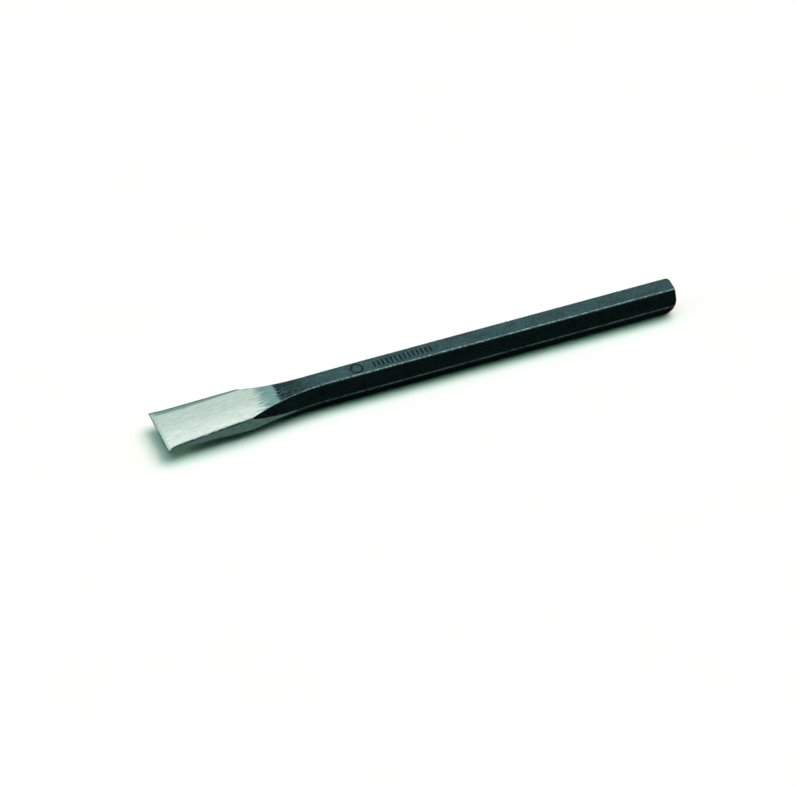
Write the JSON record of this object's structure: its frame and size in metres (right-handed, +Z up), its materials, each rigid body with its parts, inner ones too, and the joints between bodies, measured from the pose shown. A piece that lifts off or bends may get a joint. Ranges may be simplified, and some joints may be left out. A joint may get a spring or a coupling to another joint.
{
  "type": "cold chisel",
  "caption": "Flat cold chisel: hexagonal steel bar forged to a ground wedge blade at one end, with a chamfered struck head, for cutting and chipping cold metal.",
  "frame": {"origin": "halfway along the chisel, on the surface that it lies on with one flat of the hexagon down", "axes": "+X along the bar from the cutting edge to the struck head, +Y across the width of the blade, +Z up through the thickness of the blade"},
  "size_m": [0.25, 0.027, 0.014],
  "materials": {
    "forged_steel": "blackened, finely mottled forged surface; blade faces and sides ground bright with lengthwise brush lines; edges of the bar worn lighter"
  },
  "bodies": {
    "root": {"chisel": "forged_steel"}
  },
  "joints": []
}
